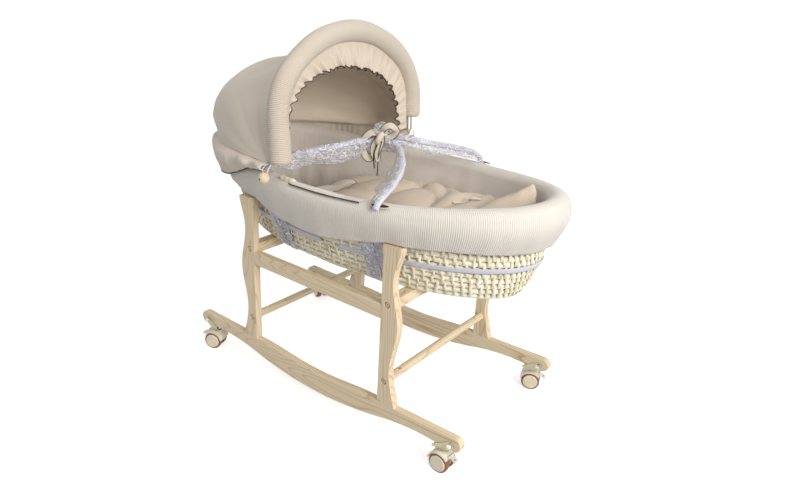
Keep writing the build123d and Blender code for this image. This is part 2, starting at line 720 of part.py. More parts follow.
# Each elastic runs from a knot through its bead and up the valance.
CORD_R = 1.5
CORD_Y = -259.7
with BuildPart() as cord:
    with BuildLine() as run:
        FilletPolyline(
            (BEAD[0], BEAD[1] - BEAD_R - 3.3, BEAD[2]), (BEAD[0], CORD_Y, BEAD[2]),
            (BEAD[0], CORD_Y, BEAD[2] + 10), radius=2,
        )
    with BuildSketch(Plane(origin=run.line @ 0, z_dir=run.line % 0)):
        Circle(CORD_R)
    sweep()
    with Locations(run.line @ 0):
        Sphere(3.2)
with BuildPart() as elastic_cords:
    add(cord.part)
    add(cord.part.mirror(Plane.XZ))
elastic_cords.part.label = "elastic_cords"
export_step(elastic_cords.part, "parts/elastic_cords.step")
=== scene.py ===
"""Moses basket on a rocking stand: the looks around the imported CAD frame.

Shapes are worked out in millimetres and stored in metres.
"""
from math import cos, pi, radians, sin

import bpy
import numpy as np
from mathutils import Matrix, Vector, noise
from mathutils.bvhtree import BVHTree


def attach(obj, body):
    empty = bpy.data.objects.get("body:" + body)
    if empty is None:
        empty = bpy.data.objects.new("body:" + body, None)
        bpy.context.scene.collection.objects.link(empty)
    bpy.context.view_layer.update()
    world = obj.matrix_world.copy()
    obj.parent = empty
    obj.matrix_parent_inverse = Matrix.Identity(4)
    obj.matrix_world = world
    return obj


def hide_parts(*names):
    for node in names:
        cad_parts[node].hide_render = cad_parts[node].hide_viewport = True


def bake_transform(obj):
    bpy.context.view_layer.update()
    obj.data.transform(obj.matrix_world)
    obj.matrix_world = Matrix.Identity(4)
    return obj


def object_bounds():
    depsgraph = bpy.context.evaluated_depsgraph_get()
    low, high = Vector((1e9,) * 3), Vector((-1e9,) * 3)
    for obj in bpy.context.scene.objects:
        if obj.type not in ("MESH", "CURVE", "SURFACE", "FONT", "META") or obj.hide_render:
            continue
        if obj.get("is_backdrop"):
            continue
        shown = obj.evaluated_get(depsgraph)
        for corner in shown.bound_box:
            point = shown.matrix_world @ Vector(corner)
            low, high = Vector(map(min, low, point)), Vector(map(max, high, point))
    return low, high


MM = 0.001
TAU = 2 * pi

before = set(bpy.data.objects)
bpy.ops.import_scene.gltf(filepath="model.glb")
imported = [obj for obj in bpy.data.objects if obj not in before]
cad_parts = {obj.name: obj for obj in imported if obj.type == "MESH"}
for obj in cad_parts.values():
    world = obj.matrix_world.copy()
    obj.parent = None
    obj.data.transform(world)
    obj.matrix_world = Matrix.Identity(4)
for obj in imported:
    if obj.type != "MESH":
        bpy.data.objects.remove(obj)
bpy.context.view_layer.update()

# ----------------------------------------------------------------- dimensions
BASKET_X = 5.0
RIM_MID, RIM_END = 566.0, 602.0
RIM_REACH = 500.0
WEAVE_OVALS = ((363, 408, 164), (379, 421, 176), (448, 447, 204), (523, 458, 224), (613, 463, 236))
VALANCE_OVALS = ((450, 461, 236), (490, 471, 244), (575, 491, 263), (620, 489, 259))
INNER_OVALS = ((388, 400, 155), (457, 426, 183), (532, 437, 203), (622, 442, 215))
HOOD_X, HOOD_Z, HOOD_LEAN = -77.0, 612.0, 4.0
ARCH_HALF, ARCH_LEG = 243.0, 82.0
CORNER_R, CORNER_TURN = 150.0, 50.0
ROLL_R = 25.0

# -------------------------------------------------------------------- colours
CREAM = (0.74, 0.65, 0.54)
CREAM_SHADE = (0.54, 0.44, 0.33)
IVORY = (0.80, 0.75, 0.68)
IVORY_SHADE = (0.60, 0.54, 0.46)
QUILT_TAN = (0.68, 0.575, 0.455)
BROWN = (0.060, 0.030, 0.018)
LAVENDER = (0.73, 0.72, 0.81)
LAVENDER_SHADE = (0.60, 0.60, 0.73)
HUSK = (0.82, 0.75, 0.56)
HUSK_SHADE = (0.62, 0.53, 0.34)
HUSK_LIGHT = (0.90, 0.86, 0.71)
HUSK_BROWN = (0.74, 0.63, 0.40)


# ------------------------------------------------------------------ materials
def new_material(name, base, rough=0.8, **inputs):
    """A Principled material; the inputs are set on the shader's own sockets."""
    mat = bpy.data.materials.new(name)
    mat.use_nodes = True
    tree = mat.node_tree
    shader = tree.nodes["Principled BSDF"]
    shader.inputs["Base Color"].default_value = (*base, 1)
    shader.inputs["Roughness"].default_value = rough
    for key, value in inputs.items():
        shader.inputs[key.replace("_", " ")].default_value = value
    return mat, tree, shader


def add_node(tree, kind, links=(), **settings):
    """A node; settings are properties or input values, links are (input, output) pairs."""
    node = tree.nodes.new(kind)
    for key, value in settings.items():
        if hasattr(node, key):
            setattr(node, key, value)
        else:
            node.inputs[key.replace("_", " ")].default_value = value
    for name, source in links:
        tree.links.new(source, node.inputs[name])
    return node


def math_node(tree, operation, first, second):
    """A Math node of one socket or value with another."""
    node = tree.nodes.new("ShaderNodeMath")
    node.operation = operation
    for socket, value in zip(node.inputs, (first, second)):
        if isinstance(value, (int, float)):
            socket.default_value = value
        else:
            tree.links.new(value, socket)
    return node.outputs[0]


def mix_colour(tree, factor, low, high):
    """A colour between two colours or sockets."""
    node = tree.nodes.new("ShaderNodeMix")
    node.data_type = "RGBA"
    tree.links.new(factor, node.inputs["Factor"])
    for socket, value in ((node.inputs["A"], low), (node.inputs["B"], high)):
        if isinstance(value, tuple):
            socket.default_value = (*value, 1)
        else:
            tree.links.new(value, socket)
    return node.outputs["Result"]


def coordinates(tree, kind="Object", scale=(1, 1, 1)):
    """Texture coordinates of one kind, scaled."""
    source = add_node(tree, "ShaderNodeTexCoord").outputs[kind]
    mapping = add_node(tree, "ShaderNodeMapping", [("Vector", source)])
    mapping.inputs["Scale"].default_value = scale
    return mapping.outputs["Vector"]


def ramp(tree, factor, *stops):
    """A colour ramp through (place, colour) stops."""
    node = add_node(tree, "ShaderNodeValToRGB", [("Fac", factor)])
    while len(node.color_ramp.elements) < len(stops):
        node.color_ramp.elements.new(0.5)
    for element, (place, colour) in zip(node.color_ramp.elements, stops):
        element.position = place
        element.color = (*colour, 1)
    return node.outputs["Color"]


def bump(tree, shader, height, strength, distance=0.001, under=None):
    """Adds a bump, on top of another bump's normal if one is given."""
    links = [("Height", height)] + ([("Normal", under)] if under else [])
    node = add_node(tree, "ShaderNodeBump", links)
    node.inputs["Strength"].default_value = strength
    node.inputs["Distance"].default_value = distance
    tree.links.new(node.outputs["Normal"], shader.inputs["Normal"])
    return node.outputs["Normal"]


def pine(name, along, seed):
    """Planed pale pine with its grain along axis 0, 1 or 2."""
    mat, tree, shader = new_material(name, (0.8, 0.7, 0.5), 0.55, Specular_IOR_Level=0.3)
    stretch = [7.0, 7.0, 7.0]
    stretch[along] = 0.9
    place = coordinates(tree, "Object", tuple(stretch))
    shift = add_node(tree, "ShaderNodeVectorMath", [(0, place)], operation="ADD")
    shift.inputs[1].default_value = (seed * 3.1, seed * 1.7, seed * 2.3)
    broad = add_node(tree, "ShaderNodeTexNoise", [("Vector", shift.outputs[0])], Scale=1.3, Detail=2.0)
    rings = math_node(tree, "MULTIPLY", broad.outputs["Fac"], 26.0)
    rings = math_node(tree, "FRACT", rings, 0.0)
    pale, tan, line = (0.78, 0.65, 0.45), (0.70, 0.55, 0.34), (0.50, 0.32, 0.15)
    grain = ramp(tree, rings, (0.0, pale), (0.62, pale), (0.80, tan), (0.93, line), (1.0, pale))
    fine_place = [400.0, 400.0, 400.0]
    fine_place[along] = 9.0
    fibre = add_node(
        tree, "ShaderNodeTexNoise",
        [("Vector", coordinates(tree, "Object", tuple(fine_place)))], Scale=1.0, Detail=3.0,
    )
    drift = add_node(tree, "ShaderNodeTexNoise", [("Vector", place)], Scale=0.6)
    strength = math_node(tree, "MULTIPLY", drift.outputs["Fac"], 1.25)
    colour = mix_colour(tree, strength, pale, grain)
    speck = ramp(tree, fibre.outputs["Fac"], (0.35, (0.90, 0.86, 0.80)), (0.6, (1, 1, 1)))
    blend = add_node(tree, "ShaderNodeMix", data_type="RGBA", blend_type="MULTIPLY")
    blend.inputs["Factor"].default_value = 0.6
    tree.links.new(colour, blend.inputs["A"])
    tree.links.new(speck, blend.inputs["B"])
    tree.links.new(blend.outputs["Result"], shader.inputs["Base Color"])
    bump(tree, shader, fibre.outputs["Fac"], 0.12, 0.0006)
    return mat


def cloth(name, colour, shade, pitch=0.0, across=0, depth=0.5, sheen=0.25, space="UV"):
    """Cotton with fine ribs that repeat every pitch mm across UV axis 0 or 1."""
    mat, tree, shader = new_material(name, colour, 0.92, Sheen_Weight=sheen, Specular_IOR_Level=0.2)
    object_place = coordinates(tree, "Object")
    blotch = add_node(tree, "ShaderNodeTexNoise", [("Vector", object_place)], Scale=9.0, Detail=3.0)
    thread = add_node(tree, "ShaderNodeTexNoise", [("Vector", object_place)], Scale=900.0, Detail=2.0)
    tint = ramp(tree, blotch.outputs["Fac"], (0.3, tuple(c * 0.93 for c in colour)), (0.7, colour))
    under = bump(tree, shader, thread.outputs["Fac"], 0.25, 0.0005)
    if pitch:
        place = coordinates(tree, space)
        part = add_node(tree, "ShaderNodeSeparateXYZ", [("Vector", place)]).outputs[across]
        wave = math_node(tree, "SINE", math_node(tree, "MULTIPLY", part, TAU / (pitch * MM)), 0)
        rib = math_node(tree, "MULTIPLY_ADD", wave, 0.5)
        rib.node.inputs[2].default_value = 0.5
        # Painted shade: the rib troughs are darkened towards the shade colour, on top of their bump.
        rib_trough_shade = mix_colour(tree, rib, shade, tint)
        amount = add_node(tree, "ShaderNodeMix", data_type="RGBA")
        amount.inputs["Factor"].default_value = 0.45
        tree.links.new(tint, amount.inputs["A"])
        tree.links.new(rib_trough_shade, amount.inputs["B"])
        tree.links.new(amount.outputs["Result"], shader.inputs["Base Color"])
        bump(tree, shader, rib, depth, 0.0012, under)
    else:
        tree.links.new(tint, shader.inputs["Base Color"])
    return mat


def husk(name):
    """Dry maize husk: straw with lighter and browner strips."""
    mat, tree, shader = new_material(name, HUSK, 0.75, Specular_IOR_Level=0.25)
    place = coordinates(tree, "Object", (1, 1, 1))
    strip = add_node(tree, "ShaderNodeTexNoise", [("Vector", place)], Scale=55.0, Detail=4.0)
    fibre = add_node(
        tree, "ShaderNodeTexNoise", [("Vector", coordinates(tree, "UV", (90, 900, 1)))], Scale=1.0, Detail=3.0
    )
    colour = ramp(
        tree, strip.outputs["Fac"], (0.25, HUSK_SHADE), (0.42, HUSK), (0.62, HUSK_LIGHT), (0.80, HUSK_BROWN),
    )
    tree.links.new(colour, shader.inputs["Base Color"])
    bump(tree, shader, fibre.outputs["Fac"], 0.5, 0.001)
    return mat


def plastic(name, colour, rough, noise_scale=60.0, metal=0.0):
    """Moulded plastic or plated metal with faint mottling."""
    mat, tree, shader = new_material(name, colour, rough, Metallic=metal)
    place = coordinates(tree, "Object")
    spots = add_node(tree, "ShaderNodeTexNoise", [("Vector", place)], Scale=noise_scale, Detail=4.0)
    worn = tuple(c * 0.82 for c in colour)
    tree.links.new(ramp(tree, spots.outputs["Fac"], (0.3, worn), (0.6, colour)), shader.inputs["Base Color"])
    bump(tree, shader, spots.outputs["Fac"], 0.08, 0.0004)
    return mat


def film(name):
    """Thin crinkled clear plastic film, faintly violet."""
    mat, tree, shader = new_material(name, (0.86, 0.86, 0.93), 0.10, Specular_IOR_Level=1.0)
    place = coordinates(tree, "Object", (50, 75, 120))
    crinkle = add_node(tree, "ShaderNodeTexNoise", [("Vector", place)], Scale=1.0, Detail=2.0, Distortion=1.5)
    # The crinkle bump is the film's own; the narrow near-opaque pale band along each crinkle is a painted
    # highlight.
    alpha = ramp(
        tree, crinkle.outputs["Fac"], (0.36, (0.20,) * 3), (0.48, (0.36,) * 3), (0.52, (0.95,) * 3),
        (0.57, (0.36,) * 3), (0.70, (0.22,) * 3),
    )
    tree.links.new(alpha, shader.inputs["Alpha"])
    bump(tree, shader, crinkle.outputs["Fac"], 1.0, 0.012)
    return mat


RIB_ROLL = cloth("cotton_rib_roll", CREAM, CREAM_SHADE, 4.0, 0, 0.9)
RIB_IVORY = cloth("cotton_rib_ivory", IVORY, IVORY_SHADE, 4.3, 0, 0.6)
RIB_FRILL = cloth("cotton_rib_frill", CREAM, CREAM_SHADE, 4.2, 0, 0.35)
PLAIN_CREAM = cloth("cotton_plain_cream", CREAM, CREAM_SHADE)
QUILT = cloth("cotton_quilt", QUILT_TAN, (0.48, 0.38, 0.27), 4.2, 0, 0.5, space="Object")
PIPING = cloth("piping_brown", BROWN, BROWN)
WEBBING = cloth("webbing_lavender", LAVENDER, LAVENDER_SHADE, 2.4, 1, 0.5, 0.1)
ELASTIC = cloth("elastic_white", (0.86, 0.86, 0.84), (0.6, 0.6, 0.6), 1.6, 0, 0.5)
HUSK_MAT = husk("maize_husk")
# Near-black brown painted shade for the gaps between the woven rows.
HUSK_GAP_SHADE = cloth("husk_shadow", (0.16, 0.11, 0.05), (0.1, 0.07, 0.03))
FILM = film("clear_film")
PATCH_CLOTH = cloth("cotton_patch", (0.76, 0.69, 0.59), IVORY_SHADE)
PIPING_SOFT = cloth("piping_tan", (0.36, 0.27, 0.19), BROWN)
# Near-black painted shade for the inside of the slits in the rim.
SLIT_SHADE = cloth("slit_painted_shade", (0.03, 0.025, 0.025), BROWN)
BEAD = pine("turned_bead", 2, 9)


# ---------------------------------------------------------------- mesh makers
def finish_piece(obj, body, slot, *nodes):
    """Rides a piece on a body and hides the nodes it stands for; the slot is not used."""
    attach(obj, body)
    if nodes:
        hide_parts(*nodes)
    return obj


def mesh_object(name, points, faces, material, uvs=None):
    """A smooth mesh object from points in mm."""
    mesh = bpy.data.meshes.new(name)
    mesh.from_pydata((np.asarray(points, float) * MM).tolist(), [], faces)
    mesh.shade_smooth()
    mesh.materials.append(material)
    if uvs is not None:
        layer = mesh.uv_layers.new(name="UVMap")
        layer.data.foreach_set("uv", np.asarray(uvs, float).ravel())
    mesh.validate()
    obj = bpy.data.objects.new(name, mesh)
    bpy.context.scene.collection.objects.link(obj)
    return obj


def grid_faces(rows, columns, close_rows=False, close_columns=False, start=0):
    """Quads of a grid, and each corner's (row, column) without wrapping."""
    faces, corners = [], []
    for i in range(rows if close_rows else rows - 1):
        for j in range(columns if close_columns else columns - 1):
            quad = [(i, j), (i, j + 1), (i + 1, j + 1), (i + 1, j)]
            faces.append([start + (a % rows) * columns + b % columns for a, b in quad])
            corners.extend(quad)
    return faces, corners


def lengths(points):
    """Running length along a line of points."""
    return np.concatenate([[0], np.cumsum(np.linalg.norm(np.diff(points, axis=0), axis=1))])


def grid(name, points, material, close_rows=False, close_columns=False):
    """A surface through points[row][column]; its UVs are metres along columns and rows."""
    points = np.asarray(points, float)
    rows, columns = points.shape[:2]
    wrap_c = np.concatenate([points, points[:, :1]], axis=1)
    wrap_r = np.concatenate([points, points[:1]], axis=0)
    middle = rows // 2
    along = lengths(wrap_c[middle]) * MM
    down = lengths(wrap_r[:, columns // 2]) * MM
    faces, corners = grid_faces(rows, columns, close_rows, close_columns)
    uvs = [(along[j], down[i]) for i, j in corners]
    return mesh_object(name, points.reshape(-1, 3), faces, material, uvs)


def smooth_route(points, step=4.0, closed=False):
    """Points every step mm along a smooth curve through the given ones."""
    points = np.asarray(points, float)
    if closed:
        padded = np.vstack([points[-1], points, points[0], points[1]])
    else:
        padded = np.vstack([2 * points[0] - points[1], points, 2 * points[-1] - points[-2]])
    route = []
    for a, b, c, d in zip(padded, padded[1:], padded[2:], padded[3:]):
        for t in np.linspace(0, 1, max(3, int(np.linalg.norm(c - b) / step)), endpoint=False):
            route.append(
                0.5 * (2 * b + (c - a) * t + (2 * a - 5 * b + 4 * c - d) * t**2
                       + (3 * b - a - 3 * c + d) * t**3)
            )
    if not closed:
        route.append(points[-1])
    return np.array(route)


def tube_points(route, radius, sides=12, closed=False, flat=1.0, up=(0, 0, 1)):
    """Rings round a route; radius may vary along it, and flat squeezes it along up."""
    route = np.asarray(route, float)
    if closed:
        tangent = np.roll(route, -1, axis=0) - np.roll(route, 1, axis=0)
    else:
        tangent = np.gradient(route, axis=0)
    tangent /= np.linalg.norm(tangent, axis=1)[:, None]
    side = np.cross(tangent, np.asarray(up, float))
    side /= np.linalg.norm(side, axis=1)[:, None] + 1e-9
    other = np.cross(side, tangent)
    angle = np.linspace(0, TAU, sides, endpoint=False)
    radius = np.broadcast_to(np.asarray(radius, float), (len(route),))
    return (
        route[:, None]
        + radius[:, None, None] * (np.cos(angle)[None, :, None] * side[:, None]
                                   + flat * np.sin(angle)[None, :, None] * other[:, None])
    )


def tube(name, route, radius, material, sides=12, closed=False, flat=1.0, up=(0, 0, 1)):
    """A capped tube along a route. UV axis 0 runs along it."""
    rings = tube_points(route, radius, sides, closed, flat, up)
    if not closed:
        ends = [rings[0].mean(axis=0), rings[-1].mean(axis=0)]
        rings = np.concatenate([
            np.broadcast_to(ends[0], rings[:1].shape), rings, np.broadcast_to(ends[1], rings[:1].shape)
        ])
    return grid(name, np.swapaxes(rings, 0, 1), material, close_rows=True, close_columns=closed)


def solidify(obj, thickness, offset=-1.0):
    """Gives a sheet its thickness."""
    modifier = obj.modifiers.new("thickness", "SOLIDIFY")
    modifier.thickness = thickness * MM
    modifier.offset = offset
    return obj


def subdivide(obj, levels=1):
    """Adds a subdivision surface."""
    modifier = obj.modifiers.new("subdivision", "SUBSURF")
    modifier.levels = levels
    modifier.render_levels = levels
    return obj


def wander(points, scale, amount, seed=0.0):
    """Smooth noise for each point, in mm."""
    flat = np.asarray(points, float).reshape(-1, 3) * scale
    values = [noise.noise(Vector((x + seed, y - seed, z + 2 * seed))) for x, y, z in flat]
    return np.array(values).reshape(np.asarray(points).shape[:-1]) * amount


def oval_at(table, height):
    """Half length and half width of a table of ovals at a height."""
    z, a, b = np.array(table, float).T
    return np.interp(height, z, a), np.interp(height, z, b)


def rim_height(x):
    """Height of the padded rim's crest at x."""
    return RIM_MID + (RIM_END - RIM_MID) * ((x - BASKET_X) / RIM_REACH) ** 2


# ------------------------------------------------------------- the CAD pieces
TIMBER_AXES = {"post": 2, "rocker": 0, "side_rail": 0, "cross_rail": 1, "dowel": 1, "foot_pins": 2}
NODE_MATERIALS = {
    "wood_plugs": pine("pine_plug", 0, 5),
    "post_bolts": plastic("bolt_black", (0.05, 0.045, 0.04), 0.4, metal=0.6),
    "barrel_nuts": plastic("zinc", (0.62, 0.60, 0.56), 0.3, metal=1.0),
    "bracket": plastic("zinc_yellow", (0.46, 0.42, 0.28), 0.35, metal=0.8),
    "housing": plastic("ivory_plastic", (0.76, 0.71, 0.58), 0.35),
    "brake_lever": plastic("ivory_lever", (0.72, 0.67, 0.55), 0.35),
    "tyres": plastic("tyre_brown", (0.21, 0.075, 0.04), 0.55),
    "hubs": plastic("hub_cream", (0.80, 0.71, 0.52), 0.25),
}
for alias, source in (("rail_screws", "barrel_nuts"), ("castor_pivot_bolts", "barrel_nuts"),
                      ("stem", "barrel_nuts"), ("axle", "barrel_nuts"), ("hood_hoop", "barrel_nuts")):
    NODE_MATERIALS[alias] = NODE_MATERIALS[source]
for number, (name, obj) in enumerate(sorted(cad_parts.items())):
    material = next((m for key, m in NODE_MATERIALS.items() if name.startswith(key)), None)
    for key, along in TIMBER_AXES.items():
        if name.startswith(key):
            material = pine(f"pine_{name}", along, number)
    if material:
        obj.data.materials.clear()
        obj.data.materials.append(material)

# ---------------------------------------------------------------- woven basket
ROW_PITCH = 14.6
ROW_TALL, ROW_DEEP = 6.3, 6.0
STITCH_PITCH = 19.0
WEAVE_TOP = 520.0


def row_route(height, inset, count=420):
    """A level oval round the basket."""
    a, b = oval_at(WEAVE_OVALS, height)
    angle = np.linspace(0, TAU, count, endpoint=False)
    x = BASKET_X + (a - inset) * np.cos(angle)
    y = (b - inset) * np.sin(angle)
    return np.stack([x, y, np.full(count, float(height))], axis=1)


row_heights = np.arange(371.0, WEAVE_TOP, ROW_PITCH)
points, faces, uvs = [], [], []
stitch_points, stitch_faces = [], []
for k, height in enumerate(row_heights):
    route = row_route(height, ROW_DEEP - 1.0)
    route[:, 2] += wander(route, 0.02, 1.6, k)
    run = lengths(np.vstack([route, route[:1]]))
    beat = np.abs(np.sin(pi * run[:-1] / STITCH_PITCH + (k % 2) * pi / 2))
    radius = ROW_DEEP * (0.90 + 0.17 * beat**0.6) + wander(route, 0.05, 0.8, k + 20)
    rings = tube_points(route, radius, 10, closed=True, flat=ROW_TALL / ROW_DEEP)
    quads, corners = grid_faces(len(route), 10, True, True, len(points))
    points.extend(rings.reshape(-1, 3))
    faces.extend(quads)
    uvs.extend((run[i] * MM, j * 0.004) for i, j in corners)
    if k + 1 == len(row_heights):
        break
    upper = row_route(row_heights[k + 1], ROW_DEEP - 1.0)
    count = int(run[-1] / STITCH_PITCH)
    for n in range(count):
        share = (n + (0.5 if k % 2 else 0.0)) / count
        i = int(share * len(route)) % len(route)
        low, high = route[i], upper[i]
        outward = np.array([cos(TAU * share) * 200, sin(TAU * share) * 430, 0.0])
        outward /= np.linalg.norm(outward)
        skew = np.cross(outward, (0, 0, 1.0)) * 1.6 * sin(n * 2.4 + k)
        line = [
            low - outward * 1.0 - (0, 0, 3.0), low + outward * (ROW_DEEP + 0.7),
            (low + high) / 2 + outward * (ROW_DEEP - 0.6) + skew, high + outward * (ROW_DEEP + 0.5) + skew,
            high + outward * 1.0 + (0, 0, 3.0) + skew,
        ]
        width = 3.3 + 0.7 * sin(n * 1.7 + k * 3)
        widths = [width * 0.8, width, width * 0.9, width, width * 0.7]
        ring = tube_points(line, widths, 8, flat=0.45, up=outward)
        quads, _ = grid_faces(5, 8, False, True, len(stitch_points))
        stitch_points.extend(ring.reshape(-1, 3))
        stitch_faces.extend(quads)
weave_rows = mesh_object("weave_rows", points, faces, HUSK_MAT, uvs)
finish_piece(weave_rows, "basket", "maize_husk", "basket_weave")
stitches = mesh_object("weave_stitches", stitch_points, stitch_faces, HUSK_MAT)
finish_piece(stitches, "basket", "maize_husk")

# A dark sheet just inside the rows paints shade into the gaps between them.
core = [row_route(z, ROW_DEEP + 3.0) for z in (366, 379, 448, 523, 545)]
finish_piece(grid("weave_gap_shade", core, HUSK_GAP_SHADE, close_columns=True), "basket", "maize_husk")

points, faces, uvs = [], [], []
a, b = oval_at(WEAVE_OVALS, 363)
for k in range(11):
    angle = np.linspace(0, TAU, 260, endpoint=False)
    half_length, half_width = a - 7 - k * 14.0, b - 7 - k * 14.0
    route = np.stack([
        BASKET_X + half_length * np.cos(angle), half_width * np.sin(angle), np.full(260, 369.0)
    ], axis=1)
    run = lengths(np.vstack([route, route[:1]]))
    radius = 5.4 + 0.9 * np.abs(np.sin(pi * run[:-1] / STITCH_PITCH + k))
    quads, corners = grid_faces(260, 8, True, True, len(points))
    points.extend(tube_points(route, radius, 8, closed=True).reshape(-1, 3))
    faces.extend(quads)
    uvs.extend((run[i] * MM, j * 0.004) for i, j in corners)
weave_base = mesh_object("weave_base", points, faces, HUSK_MAT, uvs)
finish_piece(weave_base, "basket", "maize_husk")

# -------------------------------------------------------------- webbing straps
BELT_WIDTH = 13.0
BELT_GAP = (10.0, 62.0)
STRAPS = ((-146, 15), (-118, 22), (148, 30), (178, 22))


def outside(x, height, stand_off, way):
    """A point on the woven wall at x on one long side."""
    a, b = oval_at(WEAVE_OVALS, height)
    reach = np.clip(1 - ((x - BASKET_X) / (a + stand_off)) ** 2, 0, 1)
    return np.array([x, way * (b + stand_off) * reach**0.5, height])


gap_low = np.arccos((BELT_GAP[1] - BASKET_X) / 445)
gap_high = np.arccos((BELT_GAP[0] - BASKET_X) / 445)
angle = np.linspace(-gap_low, TAU - gap_high, 700)
rows = []
for share in np.linspace(-1, 1, 5):
    taper = np.minimum(np.minimum(angle + gap_low, TAU - gap_high - angle) * 440 / (BELT_WIDTH / 2), 1)
    round_end = np.sqrt(np.clip(1 - (1 - taper) ** 2, 0, 1))
    height = 436 + 12 * np.cos(angle) ** 2 + share * round_end * BELT_WIDTH / 2
    a, b = oval_at(WEAVE_OVALS, height)
    out = 3.2 + wander(np.stack([angle * 300, height, height * 0], axis=1), 0.03, 1.2)
    rows.append(np.stack([BASKET_X + (a + out) * np.cos(angle), (b + out) * np.sin(angle), height], axis=1))
belt = solidify(grid("webbing_belt", rows, WEBBING), 1.2, 0)
finish_piece(belt, "basket", "webbing", "webbing_straps")
for number, (x, width) in enumerate(STRAPS):
    for way in (-1, 1):
        rows = []
        for offset in np.linspace(-width / 2, width / 2, 5):
            line = [outside(x + offset, z, 4.8, way) for z in np.linspace(505, 366, 22)]
            below = [(x + offset, way * y, 362.0) for y in np.linspace(155, 0, 10)]
            rows.append(np.vstack([line, below]))
        rows = np.array(rows)
        rows[:, :, 0] += 2.0 * np.sin(rows[:, :, 2] * 0.06 + number)
        strap = solidify(grid(f"webbing_strap_{number}_{'f' if way < 0 else 'b'}", rows, WEBBING), 1.2, 0)
        finish_piece(strap, "basket", "webbing")

# Clear film wraps each pair of straps: its middle in x, and its width.
STRAP_FILMS = ((-132, 64), (164, 70))
for number, (x, width) in enumerate(STRAP_FILMS):
    for way in (-1, 1):
        rows = []
        for offset in np.linspace(-width / 2, width / 2, 17):
            edge = 2.0 * sin(offset * 0.9)
            line = [outside(x + offset, z, 9.5 + edge + 1.5 * sin(z * 0.3 + offset * 0.2), way)
                    for z in np.linspace(506, 368, 40)]
            rows.append(line)
        rows = np.array(rows)
        rows[:, :, 0] += wander(rows, 0.03, 5.0, number + 7)
        wrap = grid(f"strap_film_{number}_{'f' if way < 0 else 'b'}", rows, FILM)
        finish_piece(wrap, "basket", "webbing")


# ------------------------------------------------------- liner with its valance
def hem_height(x):
    """Height of the valance's hem at x: an arch between the posts, then nearly level."""
    middle = 462 + 27.5 * np.clip(np.abs(x - BASKET_X) / 203, 0, 1) ** 2
    return middle + 4.5 * np.clip((np.abs(x - BASKET_X) - 203) / 260, 0, 1)


LINER_COLUMNS = 520
CREST_HALF = 22.0
angle = np.linspace(0, TAU, LINER_COLUMNS, endpoint=False)
crest = rim_height(BASKET_X + 478 * np.cos(angle))
rows = []
for t in np.linspace(0, 1, 16):
    height = 424 + (crest - CREST_HALF - 424) * t
    a, b = oval_at(INNER_OVALS, height)
    slack = 3.0 * np.sin(angle * 23 + 3 * np.sin(angle * 5)) * (1 - t) + 5 * np.sin(pi * t)
    rows.append(np.stack([
        BASKET_X + (a - slack) * np.cos(angle), (b - slack) * np.sin(angle), height
    ], axis=1))
inner_a, inner_b = oval_at(INNER_OVALS, crest - CREST_HALF)
outer_a, outer_b = oval_at(VALANCE_OVALS, crest - CREST_HALF)
for turn in np.linspace(0, pi, 14)[1:-1]:
    share = (1 - cos(turn)) / 2
    a = inner_a + (outer_a - inner_a) * share
    b = inner_b + (outer_b - inner_b) * share
    rows.append(np.stack([
        BASKET_X + a * np.cos(angle), b * np.sin(angle), crest - CREST_HALF * (1 - sin(turn))
    ], axis=1))
for t in np.linspace(0, 1, 22):
    hem = hem_height(BASKET_X + 470 * np.cos(angle))
    height = crest - CREST_HALF + (hem - crest + CREST_HALF) * t
    a, b = oval_at(VALANCE_OVALS, height)
    foot = np.clip(np.cos(angle), 0, 1) ** 2
    swell = (5 + 5 * foot) * np.sin(pi * t**0.8) - 3 * t
    ripple = t * (1.6 * np.sin(angle * 17 + 2 * np.sin(3 * angle)) + 1.0 * np.sin(angle * 41))
    rows.append(np.stack([
        BASKET_X + (a + swell + ripple) * np.cos(angle), (b + swell + ripple) * np.sin(angle), height
    ], axis=1))
tuck = rows[-1].copy()
tuck[:, 2] += 5
tuck[:, :2] -= (tuck[:, :2] - (BASKET_X, 0)) * 0.03
rows.append(tuck)
rows = np.array(rows)
rows[:, :, 2] += wander(rows, 0.008, 3.0)
liner = grid("liner_and_valance", rows, RIB_IVORY, close_columns=True)
finish_piece(liner, "basket", "cotton_ivory", "liner")

# A strip of the inner flap lies along the near rim, with piping below it.
def near_rim(x, inward, lift):
    """A point by the near rim's crest: inward towards the middle, lift above the crest."""
    a, b = oval_at(VALANCE_OVALS, rim_height(x))
    y = -(b - inward) * np.sqrt(1 - ((x - BASKET_X) / a) ** 2)
    return np.stack([x, y, rim_height(x) + lift], axis=-1)


strip_x = np.linspace(-48, 150, 90)
narrow = np.clip((150 - strip_x) / 50, 0.25, 1)
rows = []
for t in np.linspace(0, 1, 11):
    bulge = 3.4 * sin(pi * t) + 1.2 + 0.8 * np.sin(strip_x * 0.05) - 3.6 * (1 - t) ** 3 - 2.0 * t**3
    rows.append(near_rim(strip_x, 14 + 24 * t * narrow, bulge))
flap = solidify(grid("liner_inner_flap", rows, RIB_IVORY), 1.2, 0)
finish_piece(flap, "basket", "cotton_ivory")
line = near_rim(strip_x, 13, -0.2)
finish_piece(tube("liner_flap_piping", line, 1.5, PIPING, 8), "basket", "cotton_ivory")
husk_x = np.linspace(-88, -44, 30)
husk_line = near_rim(husk_x, 27, 1.5)
husk_radius = 6.0 * (0.92 + 0.2 * np.abs(np.sin(husk_x * 0.21)))
finish_piece(tube("rim_husk", husk_line, husk_radius, HUSK_MAT, 12), "basket", "maize_husk")

